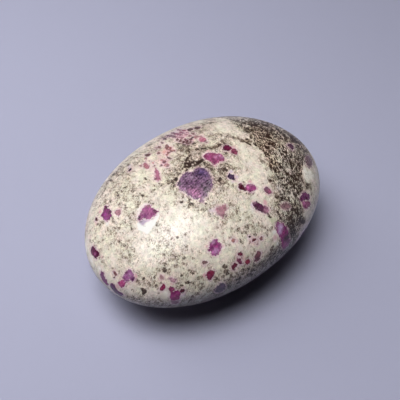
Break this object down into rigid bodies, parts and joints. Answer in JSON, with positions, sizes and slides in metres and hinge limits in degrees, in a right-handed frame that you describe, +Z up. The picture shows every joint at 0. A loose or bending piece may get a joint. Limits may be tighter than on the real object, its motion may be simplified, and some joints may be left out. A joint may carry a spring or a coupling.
{
  "type": "ruby in albite palm stone",
  "caption": "Polished oval palm stone of pale albite with dark mica flecks and set-in ruby crystals, resting on a small flat spot.",
  "frame": {"origin": "on the surface the stone rests on, under the middle of its outline", "axes": "+X along the stone's length, +Y across its width, +Z up through its thickness"},
  "size_m": [0.072, 0.0524, 0.031],
  "materials": {
    "stone": "polished; pale cream albite with fine black mica flecks, a dark mica band and magenta to purple ruby crystals"
  },
  "bodies": {
    "root": {"stone": "stone"}
  },
  "joints": []
}
